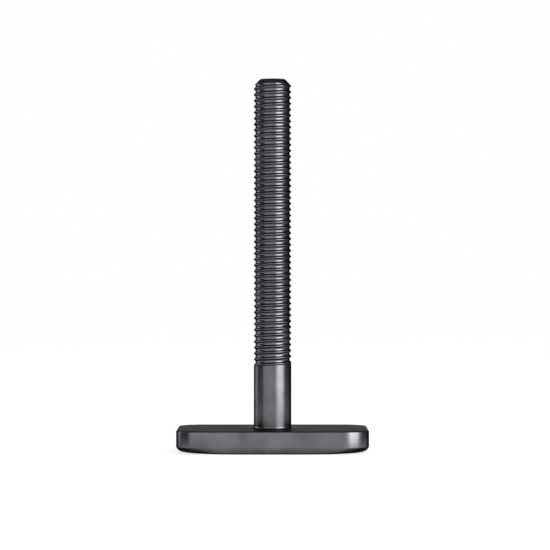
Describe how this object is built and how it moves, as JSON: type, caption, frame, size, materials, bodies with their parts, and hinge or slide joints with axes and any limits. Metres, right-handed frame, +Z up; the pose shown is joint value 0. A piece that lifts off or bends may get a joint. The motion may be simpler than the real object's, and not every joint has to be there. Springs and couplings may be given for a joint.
{
  "type": "t slot bolt",
  "caption": "Black T slot bolt: a flat oblong head with rounded corners and an upright M8 stud, forged in one piece.",
  "frame": {"origin": "centre of the head's underside, on the stud's axis", "axes": "+Z up the stud, +X along the head's long sides, +Y across the head"},
  "size_m": [0.0406, 0.027, 0.079],
  "materials": {
    "black_oxide_steel": "black oxide, satin, lightly oiled"
  },
  "bodies": {
    "root": {"t_slot_bolt": "black_oxide_steel"}
  },
  "joints": []
}
